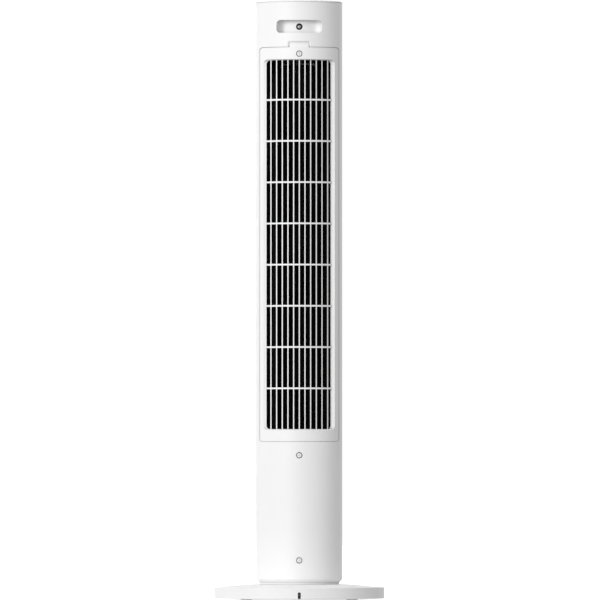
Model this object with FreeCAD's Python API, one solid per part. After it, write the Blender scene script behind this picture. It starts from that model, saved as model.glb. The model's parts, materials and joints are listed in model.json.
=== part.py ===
"""Round-column tower fan with an oscillating tower on a weighted base.

Millimetres, +Z up. The origin is the centre of the footprint on the floor. The air outlet faces -Y and
the intake grille, the carry grip and the cord outlet face +Y. Each function below makes one sub-part.
"""
import FreeCAD, Part
import math
import os

Vector = FreeCAD.Vector
PARTS_FOLDER = "parts"

# Overall size
TOTAL_HEIGHT = 1100.0
COLUMN_RADIUS = 79.0
BASE_RADIUS = 156.0
WALL = 2.5

# Base
FOOT_HEIGHT = 5.5
BASE_BOTTOM_Z = 2.9
RIM_TOP_Z = 23.6
PLATEAU_Z = 29.0
PLATEAU_RADIUS = 92.0
RIM_ROUNDING = 0.6
PLATE_TOP_Z = 8.0
FOOT_CIRCLE_RADIUS = 136.0
BASE_SCREW_CIRCLE_RADIUS = 146.0
BALLAST_OUTER_RADIUS = 138.0
BALLAST_INNER_RADIUS = 62.0
BALLAST_TOP_Z = 12.5
CORD_NOTCH_WIDTH = 5.4
CORD_NOTCH_TOP_Z = 15.9

# Turning joint between base and tower
HUB_RADIUS = 22.0
HUB_BORE_RADIUS = 14.0
HUB_SHOULDER_RADIUS = 20.0
HUB_SHOULDER_Z = 41.0
HUB_TOP_Z = 47.0
SHAFT_CLEARANCE = 0.1
NECK_RADIUS = 73.2
NECK_BOTTOM_Z = 29.3
NECK_TOP_Z = 31.9
TURNTABLE_RADIUS = 69.7
TURNTABLE_TOP_Z = 35.0
GEAR_MODULE = 0.8
HUB_GEAR_TEETH = 72
PINION_TEETH = 18
PINION_Y = -GEAR_MODULE * (HUB_GEAR_TEETH + PINION_TEETH) / 2
MOTOR_SHAFT_OFFSET = 8.0

# Housing
HOUSING_BOTTOM_Z = 32.0
HOUSING_TOP_Z = 1095.0
CHAMFER_TOP_Z = 38.6
CHAMFER_RADIUS = 73.3
INNER_RADIUS = COLUMN_RADIUS - WALL
SEAM_HALF_GAP = 0.15
INTERNAL_RADIUS = 69.8

# Removable intake grille at the rear
PANEL_HALF_WIDTH = 72.25
PANEL_BOTTOM_Z = 290.9
PANEL_TOP_Z = 1011.8
PANEL_GAP = 0.6
PANEL_TOP_GAP = 1.0
HOOK_X = 45.0
PANEL_INNER_RADIUS = 76.6
PANEL_CORNER = 5.0
LANDING_INNER_RADIUS = 73.6
INTAKE_LEFT_X = -57.3
INTAKE_RIGHT_X = 60.0
INTAKE_BOTTOM_Z = 313.3
INTAKE_TOP_Z = 988.8
INTAKE_CORNER = 7.0
LEDGE_HALF_WIDTH = 65.0
LEDGE_Y = 44.7
LEDGE_THICKNESS = 3.0
BEVEL_HEIGHT = 1.6
BEVEL_RADIUS = 74.7
INTAKE_WALL_INNER_RADIUS = 70.5
INTAKE_WALL_OUTER_RADIUS = 78.0
BAR_PITCH = 10.38
BAR_WIDTH = 2.0
BAR_COUNT = 11
RIB_PITCH = 75.44
RIB_HEIGHT = 3.0
RIB_COUNT = 8
RIB_MIDDLE_Z = 652.05
BAR_INNER_RADIUS = 71.4
BAR_OUTER_RADIUS = 74.6
TAB_HALF_WIDTH = 17.3
TAB_TOP_Z = 1020.6
NOTCH_TOP_Z = 1023.2
NOTCH_CORNER = 3.0

# Air outlet at the front
OUTLET_HALF_WIDTH = 36.0
OUTLET_BOTTOM_Z = 318.0
OUTLET_TOP_Z = 983.0
OUTLET_FRAME = 4.5
OUTLET_GAP = 0.25
SLAT_PITCH = 10.4
SLAT_THICKNESS = 1.8

# Carry grip
GRIP_HALF_WIDTH = 41.8
GRIP_BOTTOM_Z = 1038.4
GRIP_TOP_Z = 1061.9
GRIP_FLOOR_RADIUS = 57.5
GRIP_END_RADIUS = 12.0
GRIP_CORNER = 7.0
GRIP_WALL = 2.0
GRIP_STRIPS_X = (-30.0, -10.0, 10.0)
GRIP_STRIP_WIDTH = 10.0

# Visible screws in counterbored holes
COUNTERBORE_RADIUS = 5.8
WHITE_HEAD_RADIUS = 4.3
WHITE_HEAD_HEIGHT = 5.6
SCREW_HOLE_RADIUS = 1.9
REAR_SCREW_Z = (73.3, 265.5)
REAR_SCREW_SEAT_Y = 72.0
PANEL_SCREW_Z = 1000.0
GRIP_SCREW_Z = 1050.2
GRIP_SCREW_SEAT_Y = 51.0
GRIP_COUNTERBORE_RADIUS = 6.0
GRIP_CUP_WALL = 0.7

# Air path: impeller axis, duct and motor
AXIS_Y = 8.0
IMPELLER_RADIUS = 42.0
IMPELLER_BOTTOM_Z = 306.0
SEGMENT_HEIGHT = 84.0
SEGMENT_COUNT = 8
SEGMENT_TWIST = 4.5
BLADE_COUNT = 28
BLADE_INNER_RADIUS = 31.5
BLADE_THICKNESS = 1.3
DISC_THICKNESS = 2.0
IMPELLER_TOP_Z = IMPELLER_BOTTOM_Z + SEGMENT_COUNT * SEGMENT_HEIGHT
DUCT_BOTTOM_Z = 296.0
DUCT_TOP_Z = 988.0
DUCT_PLATE = 3.0
MOTOR_RADIUS = 37.0
MOTOR_BOTTOM_Z = 248.0
MOTOR_TOP_Z = 288.0
MOTOR_SHAFT_RADIUS = 4.0

# Controls on top
CAP_RIM_BOTTOM_Z = 1095.6
CAP_RIM_TOP_Z = 1097.6
CROWN_RADIUS = 62.0
CROWN_Z = 1098.6
PANEL_SEAT_RADIUS = 46.2
PANEL_RIM_Z = 1099.4
PANEL_SEAT_Z = 1097.0
CONTROL_TOP_Z = 1099.2
CONTROL_OPENING_RADIUS = 41.0
BOARD_BOTTOM_Z = 1085.8
BOARD_TOP_Z = 1087.4
BOARD_RADIUS = 54.0
BUTTON_RADIUS = 6.5
POWER_BUTTON_RADIUS = 8.0
BUTTON_CIRCLE_RADIUS = 31.0
BUTTON_TOP_Z = TOTAL_HEIGHT
BUTTON_ANGLES = {
    "timer_button": 186.0,
    "mode_button": 228.0,
    "power_button": 270.0,
    "speed_button": 312.0,
    "oscillation_button": 354.0,
}
WINDOW_HALF_WIDTH = 17.0
WINDOW_LOW_Y = -3.0
WINDOW_HIGH_Y = 17.0


# Shape helpers ---------------------------------------------------------------------------------------

def cylinder(radius, low, high, x=0.0, y=0.0):
    return Part.makeCylinder(radius, high - low, Vector(x, y, low))


def ring(outer, inner, low, high, x=0.0, y=0.0):
    return cylinder(outer, low, high, x, y).cut(cylinder(inner, low - 1, high + 1, x, y))


def rod_y(radius, low, high, x, z):
    """A cylinder along Y from y = low to y = high."""
    return Part.makeCylinder(radius, high - low, Vector(x, low, z), Vector(0, 1, 0))


def box(x0, x1, y0, y1, z0, z1):
    return Part.makeBox(x1 - x0, y1 - y0, z1 - z0, Vector(x0, y0, z0))


def prism(points, low, high):
    """A polygon in the XY plane, pulled up from low to high."""
    corners = [Vector(x, y, low) for x, y in points]
    face = Part.Face(Part.makePolygon(corners + corners[:1]))
    return face.extrude(Vector(0, 0, high - low))


def revolved(points, degrees=360.0, start=0.0):
    """A polygon of (radius, z) points turned about Z, from the start angle."""
    corners = [Vector(r, 0, z) for r, z in points]
    face = Part.Face(Part.makePolygon(corners + corners[:1]))
    face.rotate(Vector(0, 0, 0), Vector(0, 0, 1), start)
    return face.revolve(Vector(0, 0, 0), Vector(0, 0, 1), degrees)


def ring_sector(low_edge, high_edge, half_angle):
    """A slice of a ring, centred on +Y. Each edge is a pair of (radius, z) points."""
    return revolved([*low_edge, *reversed(high_edge)], 2 * half_angle, 90 - half_angle)


def rounded_block_y(half_width, low_z, high_z, radius, low_y, high_y):
    """A block that is a rounded rectangle seen along Y."""
    block = box(-half_width, half_width, low_y, high_y, low_z, high_z)
    return block.makeFillet(radius, edges_along(block, Vector(0, 1, 0)))


def edges_along(shape, direction):
    found = []
    for edge in shape.Edges:
        if isinstance(edge.Curve, Part.Line) and abs(edge.Curve.Direction.dot(direction)) > 0.999:
            found.append(edge)
    return found


def joined(first, *others):
    return first.multiFuse(list(others)).removeSplitter()


def divided(shape, region):
    """The same solid, with its faces divided into simpler ones where they meet the region's sides."""
    return shape.cut(region).fuse(shape.common(region))


def turned(shape, degrees):
    copy = shape.copy()
    copy.rotate(Vector(0, 0, 0), Vector(0, 0, 1), degrees)
    return copy


def moved(shape, x=0.0, y=0.0, z=0.0):
    copy = shape.copy()
    copy.translate(Vector(x, y, z))
    return copy


def around(shape, count, start=0.0):
    """Copies of a shape, evenly spaced about Z."""
    return [turned(shape, start + i * 360.0 / count) for i in range(count)]


def polar(radius, degrees):
    angle = math.radians(degrees)
    return radius * math.cos(angle), radius * math.sin(angle)


def cross_recess(depth, arm, width):
    """A cross-shaped driver recess, cut down from z = 0."""
    level = box(-arm, arm, -width / 2, width / 2, -depth, 1)
    return level.fuse(box(-width / 2, width / 2, -arm, arm, -depth, 1))


def pan_screw(head_radius, head_height, shank_radius, shank_length):
    """A pan-head screw whose head sits on z = 0 and whose shank points down."""
    head = cylinder(head_radius, 0, head_height)
    rim = [e for e in head.Edges if isinstance(e.Curve, Part.Circle) and e.Curve.Center.z > head_height / 2]
    head = head.makeFillet(min(head_height * 0.55, 1.4), rim)
    head = head.cut(moved(cross_recess(head_height * 0.55, head_radius * 0.55, 0.8), z=head_height))
    point = Part.makeCone(shank_radius * 0.3, shank_radius, shank_radius * 1.5, Vector(0, 0, -shank_length))
    shank = cylinder(shank_radius, -shank_length + shank_radius * 1.5, 0)
    return joined(head, shank, point)


def aimed(shape, axis, degrees, x, y, z):
    copy = shape.copy()
    copy.rotate(Vector(0, 0, 0), axis, degrees)
    copy.translate(Vector(x, y, z))
    return copy


def screw_from_above(screw, x, y, z):
    return moved(screw, x, y, z)


def screw_from_below(screw, x, y, z):
    return aimed(screw, Vector(1, 0, 0), 180, x, y, z)


def screw_from_rear(screw, x, y, z):
    """The head faces +Y and the shank points to the front."""
    return aimed(screw, Vector(1, 0, 0), -90, x, y, z)


# Gears -----------------------------------------------------------------------------------------------

def involute_outline(teeth, module, backlash, samples=4):
    """Points round a spur gear with 20 degree teeth. One tooth is centred on +X."""
    pressure = math.radians(20)
    pitch_radius = module * teeth / 2
    base_radius = pitch_radius * math.cos(pressure)
    tip_radius = pitch_radius + module
    root_radius = pitch_radius - 1.25 * module
    half_tooth = math.pi / (2 * teeth) - backlash / (2 * pitch_radius)
    start_radius = max(base_radius, root_radius)

    def involute(radius):
        angle = math.acos(min(1.0, base_radius / radius))
        return math.tan(angle) - angle

    flank = []
    for i in range(samples):
        radius = start_radius + (tip_radius - start_radius) * i / (samples - 1)
        flank.append((radius, half_tooth + involute(pitch_radius) - involute(radius)))
    rising = [(root_radius, flank[0][1])] + flank if root_radius < base_radius else flank
    points = []
    for tooth in range(teeth):
        centre = 2 * math.pi * tooth / teeth
        for radius, half in rising:
            points.append((radius * math.cos(centre - half), radius * math.sin(centre - half)))
        for radius, half in reversed(rising):
            points.append((radius * math.cos(centre + half), radius * math.sin(centre + half)))
    return points


def spur_gear(teeth, low, high, bore_radius, backlash=0.12):
    blank = prism(involute_outline(teeth, GEAR_MODULE, backlash), low, high)
    return blank.cut(cylinder(bore_radius, low - 1, high + 1))


# Base ------------------------------------------------------------------------------------------------

def cord_notch(low_y, high_y, width, top_z):
    """The arched outlet for the cord, open at the base's lower edge."""
    radius = width / 2
    slot = box(-radius, radius, low_y, high_y, BASE_BOTTOM_Z - 2, top_z - radius)
    return slot.fuse(rod_y(radius, low_y, high_y, 0, top_z - radius))


def base_cover():
    inner_rim = BASE_RADIUS - WALL
    shell = revolved([
        (HUB_RADIUS + 0.25, PLATEAU_Z),
        (PLATEAU_RADIUS, PLATEAU_Z),
        (BASE_RADIUS, RIM_TOP_Z),
        (BASE_RADIUS, BASE_BOTTOM_Z),
        (inner_rim, BASE_BOTTOM_Z),
        (inner_rim, RIM_TOP_Z - WALL),
        (PLATEAU_RADIUS, PLATEAU_Z - 4.0),
        (HUB_RADIUS + 0.25, PLATEAU_Z - 4.0),
    ])
    rim = []
    for edge in shell.Edges:
        if isinstance(edge.Curve, Part.Circle) and abs(edge.Curve.Radius - BASE_RADIUS) < 0.01:
            rim.append(edge)
    shell = shell.makeFillet(RIM_ROUNDING, rim)
    boss = cylinder(4.0, PLATE_TOP_Z, RIM_TOP_Z - 1.5, BASE_SCREW_CIRCLE_RADIUS, 0)
    pilot = cylinder(1.2, PLATE_TOP_Z - 1, PLATE_TOP_Z + 9, BASE_SCREW_CIRCLE_RADIUS, 0)
    hub_pilot = cylinder(1.2, PLATEAU_Z - 5, PLATEAU_Z - 0.5, 36, 0)
    shell = joined(shell, *around(boss, 6, 0))
    groove = ring(58.2, 49.8, PLATEAU_Z - 1.8, PLATEAU_Z + 1)
    notch = cord_notch(BASE_RADIUS - 10, BASE_RADIUS + 2, CORD_NOTCH_WIDTH, CORD_NOTCH_TOP_Z)
    for tool in around(pilot, 6, 0) + around(hub_pilot, 4, 45) + [groove, notch]:
        shell = shell.cut(tool)
    return shell


def base_plate():
    plate = cylinder(BASE_RADIUS - WALL - 0.5, FOOT_HEIGHT, PLATE_TOP_Z)
    tools = around(cylinder(1.6, 0, 10, BASE_SCREW_CIRCLE_RADIUS, 0), 6, 0)
    tools += around(cylinder(3.2, FOOT_HEIGHT - 1, FOOT_HEIGHT + 1.2, BASE_SCREW_CIRCLE_RADIUS, 0), 6, 0)
    tools += around(cylinder(4.05, 0, 10, FOOT_CIRCLE_RADIUS, 0), 4, 45)
    tools += around(cylinder(1.5, 0, 10, 100, 0), 4, 0)
    tools.append(box(-6.5, 6.5, 138, 160, 0, 10))
    for tool in tools:
        plate = plate.cut(tool)
    return plate


def ballast_plate():
    plate = ring(BALLAST_OUTER_RADIUS, BALLAST_INNER_RADIUS, PLATE_TOP_Z, BALLAST_TOP_Z)
    for hole in around(cylinder(2.0, 0, 20, 100, 0), 4, 0):
        plate = plate.cut(hole)
    return plate.cut(box(-9, 9, 128, 140, 0, 20))


def rubber_feet():
    pad = Part.makeCone(9.5, 11.0, FOOT_HEIGHT, Vector(FOOT_CIRCLE_RADIUS, 0, 0))
    stub = cylinder(4.0, FOOT_HEIGHT, PLATE_TOP_Z, FOOT_CIRCLE_RADIUS, 0)
    return around(joined(pad, stub), 4, 45)


def base_screws():
    screw = screw_from_below(pan_screw(2.8, 1.1, 1.2, 9.0), BASE_SCREW_CIRCLE_RADIUS, 0, FOOT_HEIGHT + 1.2)
    return around(screw, 6, 0)


def base_inner_screws():
    """The ballast, hub and retainer screws inside the base."""
    ballast = screw_from_above(pan_screw(2.8, 2.0, 1.4, 6.6), 100, 0, BALLAST_TOP_Z)
    hub = screw_from_below(pan_screw(2.8, 2.0, 1.15, 6.8), 36, 0, PLATEAU_Z - 7.5)
    retainer = screw_from_above(pan_screw(2.6, 1.6, 1.15, 8.0), 17, 0, HUB_TOP_Z + 2)
    return around(ballast, 4, 0) + around(hub, 4, 45) + around(retainer, 3, 90)


def cord_gland():
    """A rubber bushing behind the notch, with an oval hole for a flat two-core lead."""
    front_y = BASE_RADIUS - 1.2
    body = cord_notch(front_y - 4.0, front_y, CORD_NOTCH_WIDTH - 0.3, CORD_NOTCH_TOP_Z - 2.2)
    body = body.common(box(-4, 4, 100, 170, BASE_BOTTOM_Z + 0.4, 30))
    flange = box(-5.8, 5.8, front_y - 12.0, front_y - 4.0, FOOT_HEIGHT, CORD_NOTCH_TOP_Z - 1.0)
    low = FOOT_HEIGHT + 2.1
    high = FOOT_HEIGHT + 4.1
    bore = box(-1.7, 1.7, front_y - 13, front_y + 1, low, high)
    for z in (low, high):
        bore = bore.fuse(rod_y(1.7, front_y - 13, front_y + 1, 0, z))
    return joined(body, flange).cut(bore)


def base_hub():
    """The fixed hollow post that the tower turns on. Wires pass up through it."""
    hub = revolved([
        (HUB_BORE_RADIUS, PLATEAU_Z - 7.5),
        (44.0, PLATEAU_Z - 7.5),
        (44.0, PLATEAU_Z - 4.0),
        (HUB_RADIUS, PLATEAU_Z - 4.0),
        (HUB_RADIUS, HUB_SHOULDER_Z),
        (HUB_SHOULDER_RADIUS, HUB_SHOULDER_Z),
        (HUB_SHOULDER_RADIUS, HUB_TOP_Z),
        (HUB_BORE_RADIUS, HUB_TOP_Z),
    ])
    for hole in around(cylinder(1.4, 0, PLATEAU_Z, 36, 0), 4, 45):
        hub = hub.cut(hole)
    for pilot in around(cylinder(1.2, HUB_TOP_Z - 8, HUB_TOP_Z + 1, 17, 0), 3, 90):
        hub = hub.cut(pilot)
    return hub


def slide_ring():
    return ring(58.0, 50.0, PLATEAU_Z - 1.8, NECK_BOTTOM_Z - 0.1)


def thrust_washer():
    return ring(28.5, HUB_RADIUS + 0.3, HUB_SHOULDER_Z - 0.9, HUB_SHOULDER_Z)


def hub_gear():
    return spur_gear(HUB_GEAR_TEETH, HUB_SHOULDER_Z, HUB_TOP_Z, HUB_SHOULDER_RADIUS + 0.05)


def gear_retainer():
    washer = ring(24.0, HUB_BORE_RADIUS, HUB_TOP_Z, HUB_TOP_Z + 2)
    for hole in around(cylinder(1.4, 0, 60, 17, 0), 3, 90):
        washer = washer.cut(hole)
    return washer


# Turntable and oscillation drive ---------------------------------------------------------------------

TURNTABLE_SCREWS = [polar(62.5, angle) for angle in (195, 240, 300, 345)]
BRACKET_SCREWS = [(-20.0, -56.0), (20.0, -56.0), (-22.0, -29.0), (22.0, -29.0)]
BRACKET_BOTTOM_Z = 50.0
BRACKET_TOP_Z = 53.0


def turntable():
    bore = HUB_RADIUS + SHAFT_CLEARANCE
    plate = revolved([
        (bore, NECK_BOTTOM_Z),
        (NECK_RADIUS, NECK_BOTTOM_Z),
        (NECK_RADIUS, NECK_TOP_Z),
        (TURNTABLE_RADIUS, NECK_TOP_Z),
        (TURNTABLE_RADIUS, TURNTABLE_TOP_Z),
        (28.0, TURNTABLE_TOP_Z),
        (28.0, HUB_SHOULDER_Z - 1.0),
        (bore, HUB_SHOULDER_Z - 1.0),
    ])
    post = box(-7, 7, 50, 61, TURNTABLE_TOP_Z - 1, 82)
    gusset = prism([(-7, 51), (7, 51), (7, 40), (-7, 40)], TURNTABLE_TOP_Z - 1, 46)
    plate = joined(plate, post, gusset)
    plate = plate.cut(rod_y(1.52, 45, 62, 0, REAR_SCREW_Z[0]))
    for x, y in TURNTABLE_SCREWS:
        plate = plate.cut(cylinder(1.7, 20, 40, x, y))
        plate = plate.cut(cylinder(3.4, 20, NECK_TOP_Z + 0.6, x, y))
    for x, y in BRACKET_SCREWS:
        plate = plate.cut(cylinder(1.2, NECK_TOP_Z, 40, x, y))
    return plate


def turntable_screws():
    screw = pan_screw(3.0, 2.0, 1.5, 16.0)
    return [screw_from_below(screw, x, y, NECK_TOP_Z + 0.6) for x, y in TURNTABLE_SCREWS]


def oscillation_bracket():
    plate = box(-26, 26, -60, -25, BRACKET_BOTTOM_Z, BRACKET_TOP_Z)
    legs = [cylinder(3.5, TURNTABLE_TOP_Z, BRACKET_TOP_Z, x, y) for x, y in BRACKET_SCREWS]
    plate = joined(plate, *legs)
    plate = plate.cut(cylinder(4.8, 40, 60, 0, PINION_Y))
    for x, y in BRACKET_SCREWS:
        plate = plate.cut(cylinder(1.5, 30, 60, x, y))
    for x in (-17.5, 17.5):
        plate = plate.cut(cylinder(1.2, 40, 60, x, PINION_Y - MOTOR_SHAFT_OFFSET))
    return plate


def oscillation_motor():
    """A geared stepper motor, hanging its off-centre shaft down through the bracket."""
    y = PINION_Y - MOTOR_SHAFT_OFFSET
    can = cylinder(14.0, BRACKET_TOP_Z, BRACKET_TOP_Z + 19, 0, y)
    ears = box(-21, 21, y - 3.5, y + 3.5, BRACKET_TOP_Z, BRACKET_TOP_Z + 1)
    nose = cylinder(4.5, BRACKET_TOP_Z - 1.5, BRACKET_TOP_Z, 0, PINION_Y)
    tail = box(-7.3, 7.3, y - 17.0, y - 12, BRACKET_TOP_Z + 1.5, BRACKET_TOP_Z + 17)
    motor = joined(can, ears, nose, tail)
    motor = motor.cut(cylinder(2.6, 40, BRACKET_TOP_Z + 14, 0, PINION_Y))
    for x in (-17.5, 17.5):
        motor = motor.cut(cylinder(1.6, 40, 60, x, y))
    return motor


def oscillation_screws():
    long_screw = pan_screw(2.8, 2.0, 1.15, 20.0)
    short_screw = pan_screw(2.6, 1.6, 1.15, 3.8)
    placed = [screw_from_above(long_screw, x, y, BRACKET_TOP_Z) for x, y in BRACKET_SCREWS]
    y = PINION_Y - MOTOR_SHAFT_OFFSET
    placed += [screw_from_above(short_screw, x, y, BRACKET_TOP_Z + 1) for x in (-17.5, 17.5)]
    return placed


def oscillation_pinion():
    """The driving gear. As drawn it has a gap towards +Y, where the fixed gear has a tooth."""
    teeth = spur_gear(PINION_TEETH, HUB_SHOULDER_Z + 0.2, HUB_TOP_Z - 0.2, 2.52)
    collar = ring(5.0, 2.52, HUB_TOP_Z - 0.2, HUB_TOP_Z + 2)
    return moved(joined(teeth, collar), y=PINION_Y)


def oscillation_shaft():
    return cylinder(2.5, HUB_SHOULDER_Z + 0.5, BRACKET_TOP_Z + 12, 0, PINION_Y)


# Housing ---------------------------------------------------------------------------------------------

def housing_tube():
    return revolved([
        (TURNTABLE_RADIUS + 0.3, HOUSING_BOTTOM_Z),
        (CHAMFER_RADIUS, HOUSING_BOTTOM_Z),
        (COLUMN_RADIUS, CHAMFER_TOP_Z),
        (COLUMN_RADIUS, HOUSING_TOP_Z),
        (INNER_RADIUS, HOUSING_TOP_Z),
        (INNER_RADIUS, CHAMFER_TOP_Z + 1),
        (CHAMFER_RADIUS - 1.3, HOUSING_BOTTOM_Z + WALL),
        (TURNTABLE_RADIUS + 0.3, HOUSING_BOTTOM_Z + WALL),
    ])


DUCT_BOSSES = [(-52.0, -37.0), (52.0, -37.0)]
BOARD_POSTS = [(x, z) for x in (-36.0, 36.0) for z in (102.0, 218.0)]


def outlet_window(clearance):
    block = rounded_block_y(
        OUTLET_HALF_WIDTH + clearance, OUTLET_BOTTOM_Z - clearance, OUTLET_TOP_Z + clearance, 8, -90, -40
    )
    return block


def front_housing():
    shell = housing_tube().common(box(-90, 90, -90, -SEAM_HALF_GAP, 0, 1200))
    shell = shell.cut(outlet_window(OUTLET_GAP))
    inner_wall = ring(INNER_RADIUS + 0.1, INNER_RADIUS - 1.4, CHAMFER_TOP_Z + 2, HOUSING_TOP_Z - 12)
    lip = inner_wall.common(box(-90, 90, -7, -SEAM_HALF_GAP, 0, 1200))
    tongue = ring(INNER_RADIUS - 0.15, INNER_RADIUS - 1.4, CHAMFER_TOP_Z + 2, HOUSING_TOP_Z - 12)
    tongue = tongue.common(box(-90, 90, -1, 3.5, 0, 1200))
    ledge = ring(INNER_RADIUS + 0.1, INNER_RADIUS - 2, OUTLET_BOTTOM_Z - 8, OUTLET_TOP_Z + 8)
    ledge = ledge.common(box(-43, 43, -90, -50, 0, 1200))
    ledge = ledge.cut(rounded_block_y(32.4, OUTLET_BOTTOM_Z + 3.6, OUTLET_TOP_Z - 3.6, 5, -90, -40))
    pieces = [lip, tongue, ledge]
    for x, y in TURNTABLE_SCREWS:
        boss = cylinder(4.5, TURNTABLE_TOP_Z + 0.1, 58, x, y)
        length = math.hypot(x, y)
        rib = box(0, INNER_RADIUS - length + 0.5, -1.2, 1.2, TURNTABLE_TOP_Z + 5, 58)
        rib = moved(turned(rib, math.degrees(math.atan2(y, x))), x, y)
        pieces.append(joined(boss, rib))
    for x, y in DUCT_BOSSES:
        boss = cylinder(4.5, DUCT_BOTTOM_Z - 22, DUCT_BOTTOM_Z, x, y)
        rib = box(0, INNER_RADIUS - math.hypot(x, y) + 0.5, -1.2, 1.2, DUCT_BOTTOM_Z - 22, DUCT_BOTTOM_Z)
        rib = moved(turned(rib, math.degrees(math.atan2(y, x))), x, y)
        pieces.append(joined(boss, rib))
        high = DUCT_TOP_Z + DUCT_PLATE
        boss = cylinder(4.5, high, high + 22, x, y)
        rib = moved(rib, z=high - DUCT_BOTTOM_Z + 22)
        pieces.append(joined(boss, rib))
    for x, z in BOARD_POSTS:
        wall_y = -math.sqrt(INNER_RADIUS ** 2 - x ** 2)
        pieces.append(rod_y(4.0, wall_y - 1.6, -53.6, x, z))
    shell = joined(shell, *pieces)
    for x, y in TURNTABLE_SCREWS:
        shell = shell.cut(cylinder(1.52, 30, 52, x, y))
    for x, y in DUCT_BOSSES:
        shell = shell.cut(cylinder(1.3, DUCT_BOTTOM_Z - 12, DUCT_BOTTOM_Z + 1, x, y))
        shell = shell.cut(cylinder(1.3, DUCT_TOP_Z, DUCT_TOP_Z + DUCT_PLATE + 12, x, y))
    for x, z in BOARD_POSTS:
        shell = shell.cut(rod_y(1.2, -64.5, -50, x, z))
    return shell


def front_grille():
    """The fixed outlet grille: a frame that fills the window, with level slats and two upright ribs."""
    outer = rounded_block_y(OUTLET_HALF_WIDTH, OUTLET_BOTTOM_Z, OUTLET_TOP_Z, 7.75, -90, -40)
    low = OUTLET_BOTTOM_Z + OUTLET_FRAME
    high = OUTLET_TOP_Z - OUTLET_FRAME
    inner = rounded_block_y(OUTLET_HALF_WIDTH - OUTLET_FRAME, low, high, 4, -95, -35)
    shell = ring(COLUMN_RADIUS, INNER_RADIUS + 0.15, OUTLET_BOTTOM_Z - 5, OUTLET_TOP_Z + 5)
    frame = shell.common(outer).cut(inner)
    collar = ring(COLUMN_RADIUS - 0.4, 72.0, OUTLET_BOTTOM_Z - 5, OUTLET_TOP_Z + 5)
    collar = collar.common(rounded_block_y(
        OUTLET_HALF_WIDTH - OUTLET_FRAME + 0.7, OUTLET_BOTTOM_Z + 3.8, OUTLET_TOP_Z - 3.8, 4.7, -90, -40
    )).cut(inner)
    depth = ring(COLUMN_RADIUS - 1.2, 73.5, OUTLET_BOTTOM_Z, OUTLET_TOP_Z)
    depth = depth.common(box(-32, 32, -90, -40, 0, 1200))
    count = int(round((high - low) / SLAT_PITCH))
    pitch = (high - low) / count
    slats = []
    for i in range(1, count):
        z = low + i * pitch
        slats.append(box(-31.8, 31.8, -90, -40, z - SLAT_THICKNESS / 2, z + SLAT_THICKNESS / 2))
    slats = depth.common(Part.makeCompound(slats))
    ribs = ring(COLUMN_RADIUS - 2.5, 72.5, low - 0.4, high + 0.4)
    ribs = [ribs.common(box(x - 1, x + 1, -90, -40, 0, 1200)) for x in (-10.5, 10.5)]
    return joined(frame, collar, *ribs, *slats.Solids)


def grip_void(extra):
    """The grip pocket, grown by extra on every wall. Its floor is curved with the column."""
    half_width = GRIP_HALF_WIDTH + extra
    low, high = GRIP_BOTTOM_Z - 10, GRIP_TOP_Z + 10
    plan = box(-half_width, half_width, 20, 95, low, high)
    plan = plan.cut(cylinder(GRIP_FLOOR_RADIUS - extra, low - 1, high + 1))
    ends = []
    for edge in edges_along(plan, Vector(0, 0, 1)):
        middle = edge.CenterOfMass
        if abs(middle.x) > half_width - 0.1 and 20.1 < middle.y < 94.9:
            ends.append(edge)
    plan = plan.makeFillet(GRIP_END_RADIUS + extra, ends)
    front = rounded_block_y(
        half_width, GRIP_BOTTOM_Z - extra, GRIP_TOP_Z + extra, GRIP_CORNER + extra, 45, 95
    )
    return plan.common(front)


def tab_notch():
    """A bevelled finger notch above the grille, flared towards the outside on three sides."""
    low = PANEL_TOP_Z - 1
    inner_top, outer_top = TAB_TOP_Z + 0.4, NOTCH_TOP_Z + 1
    inner_half, flare = TAB_HALF_WIDTH + 0.5, 1.75
    near_y, far_y = 72.5, 81.0
    edge_y = math.sqrt(INNER_RADIUS ** 2 - inner_half ** 2)
    near_half = inner_half - flare * (edge_y - near_y)
    far_half = inner_half + flare * (far_y - edge_y)
    plan = [(-near_half, near_y), (near_half, near_y), (far_half, far_y), (-far_half, far_y)]
    low_edge = [(INNER_RADIUS, low), (80.0, low)]
    high_edge = [(INNER_RADIUS, inner_top), (80.0, outer_top)]
    notch = ring_sector(low_edge, high_edge, 25)
    notch = notch.common(prism(plan, low - 1, outer_top + 1))
    corners = []
    for edge in notch.Edges:
        middle = edge.CenterOfMass
        if abs(middle.x) > inner_half and inner_top < middle.z < outer_top - 0.5:
            corners.append(edge)
    return notch.makeFillet(NOTCH_CORNER, corners)


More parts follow.
